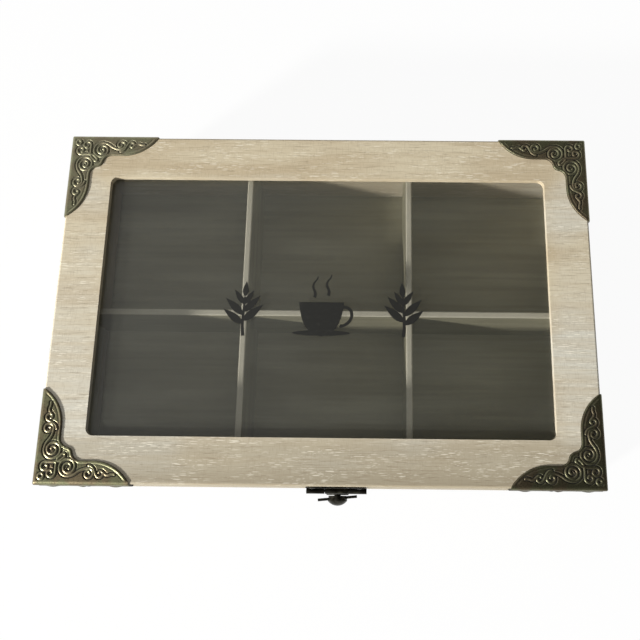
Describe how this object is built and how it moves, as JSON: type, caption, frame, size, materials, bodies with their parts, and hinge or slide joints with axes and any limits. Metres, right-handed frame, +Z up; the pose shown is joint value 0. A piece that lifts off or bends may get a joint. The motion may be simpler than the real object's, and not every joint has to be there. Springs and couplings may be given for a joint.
{
  "type": "tea bag organizer box",
  "caption": "Flat wooden tea bag chest with a glazed hinged lid, equal compartments, pressed bronze corner protectors and a turn-button hasp",
  "frame": {"origin": "centre of the underside of the box, on the surface it stands on", "axes": "+X to the right along the longest side, +Y to the back where the hinges are, +Z up; the latch faces -Y"},
  "size_m": [0.2422, 0.1705, 0.0609],
  "materials": {
    "limed_wood": "limed, satin",
    "inner_wood": "stained, satin",
    "window_glass": "polished",
    "bronze": "antique, satin",
    "dark_bronze": "antique, dark"
  },
  "bodies": {
    "box": {"bottom_panel": "inner_wood", "front_wall": "limed_wood", "back_wall": "limed_wood", "left_wall": "limed_wood", "right_wall": "limed_wood", "long_divider": "inner_wood", "cross_divider_left": "inner_wood", "cross_divider_right": "inner_wood", "latch_base_plate": "dark_bronze", "latch_base_nails": "dark_bronze", "hinge_left_lower_leaf": "dark_bronze", "hinge_right_lower_leaf": "dark_bronze", "hinge_left_pin": "dark_bronze", "hinge_right_pin": "dark_bronze", "hinge_nails_box": "dark_bronze"},
    "lid": {"lid_top_board": "limed_wood", "lid_front_rail": "limed_wood", "lid_back_rail": "limed_wood", "lid_left_rail": "limed_wood", "lid_right_rail": "limed_wood", "glass_pane": "window_glass", "glazing_bead_front": "inner_wood", "glazing_bead_back": "inner_wood", "glazing_bead_left": "inner_wood", "glazing_bead_right": "inner_wood", "corner_front_left": "bronze", "corner_front_right": "bronze", "corner_back_left": "bronze", "corner_back_right": "bronze", "corner_nails": "dark_bronze", "hinge_left_upper_leaf": "dark_bronze", "hinge_right_upper_leaf": "dark_bronze", "hinge_nails_lid": "dark_bronze", "latch_top_plate": "dark_bronze", "latch_pin": "dark_bronze", "latch_top_nails": "dark_bronze"},
    "hasp": {"hasp_flap": "dark_bronze"},
    "turn_button": {"turn_button": "dark_bronze"}
  },
  "joints": [
    {"name": "lid_hinge", "type": "hinge", "parent": "box", "child": "lid", "pos_m": [0, 0.0814, 0.042], "axis": [-1, 0, 0], "range_deg": [0, 180]},
    {"name": "hasp_hinge", "type": "hinge", "parent": "lid", "child": "hasp", "pos_m": [0.0065, -0.08115, 0.0442], "axis": [-1, 0, 0], "range_deg": [0, 160]},
    {"name": "button_turn", "type": "hinge", "parent": "box", "child": "turn_button", "pos_m": [0.0065, -0.0834, 0.0322], "axis": [0, -1, 0], "continuous": true}
  ]
}
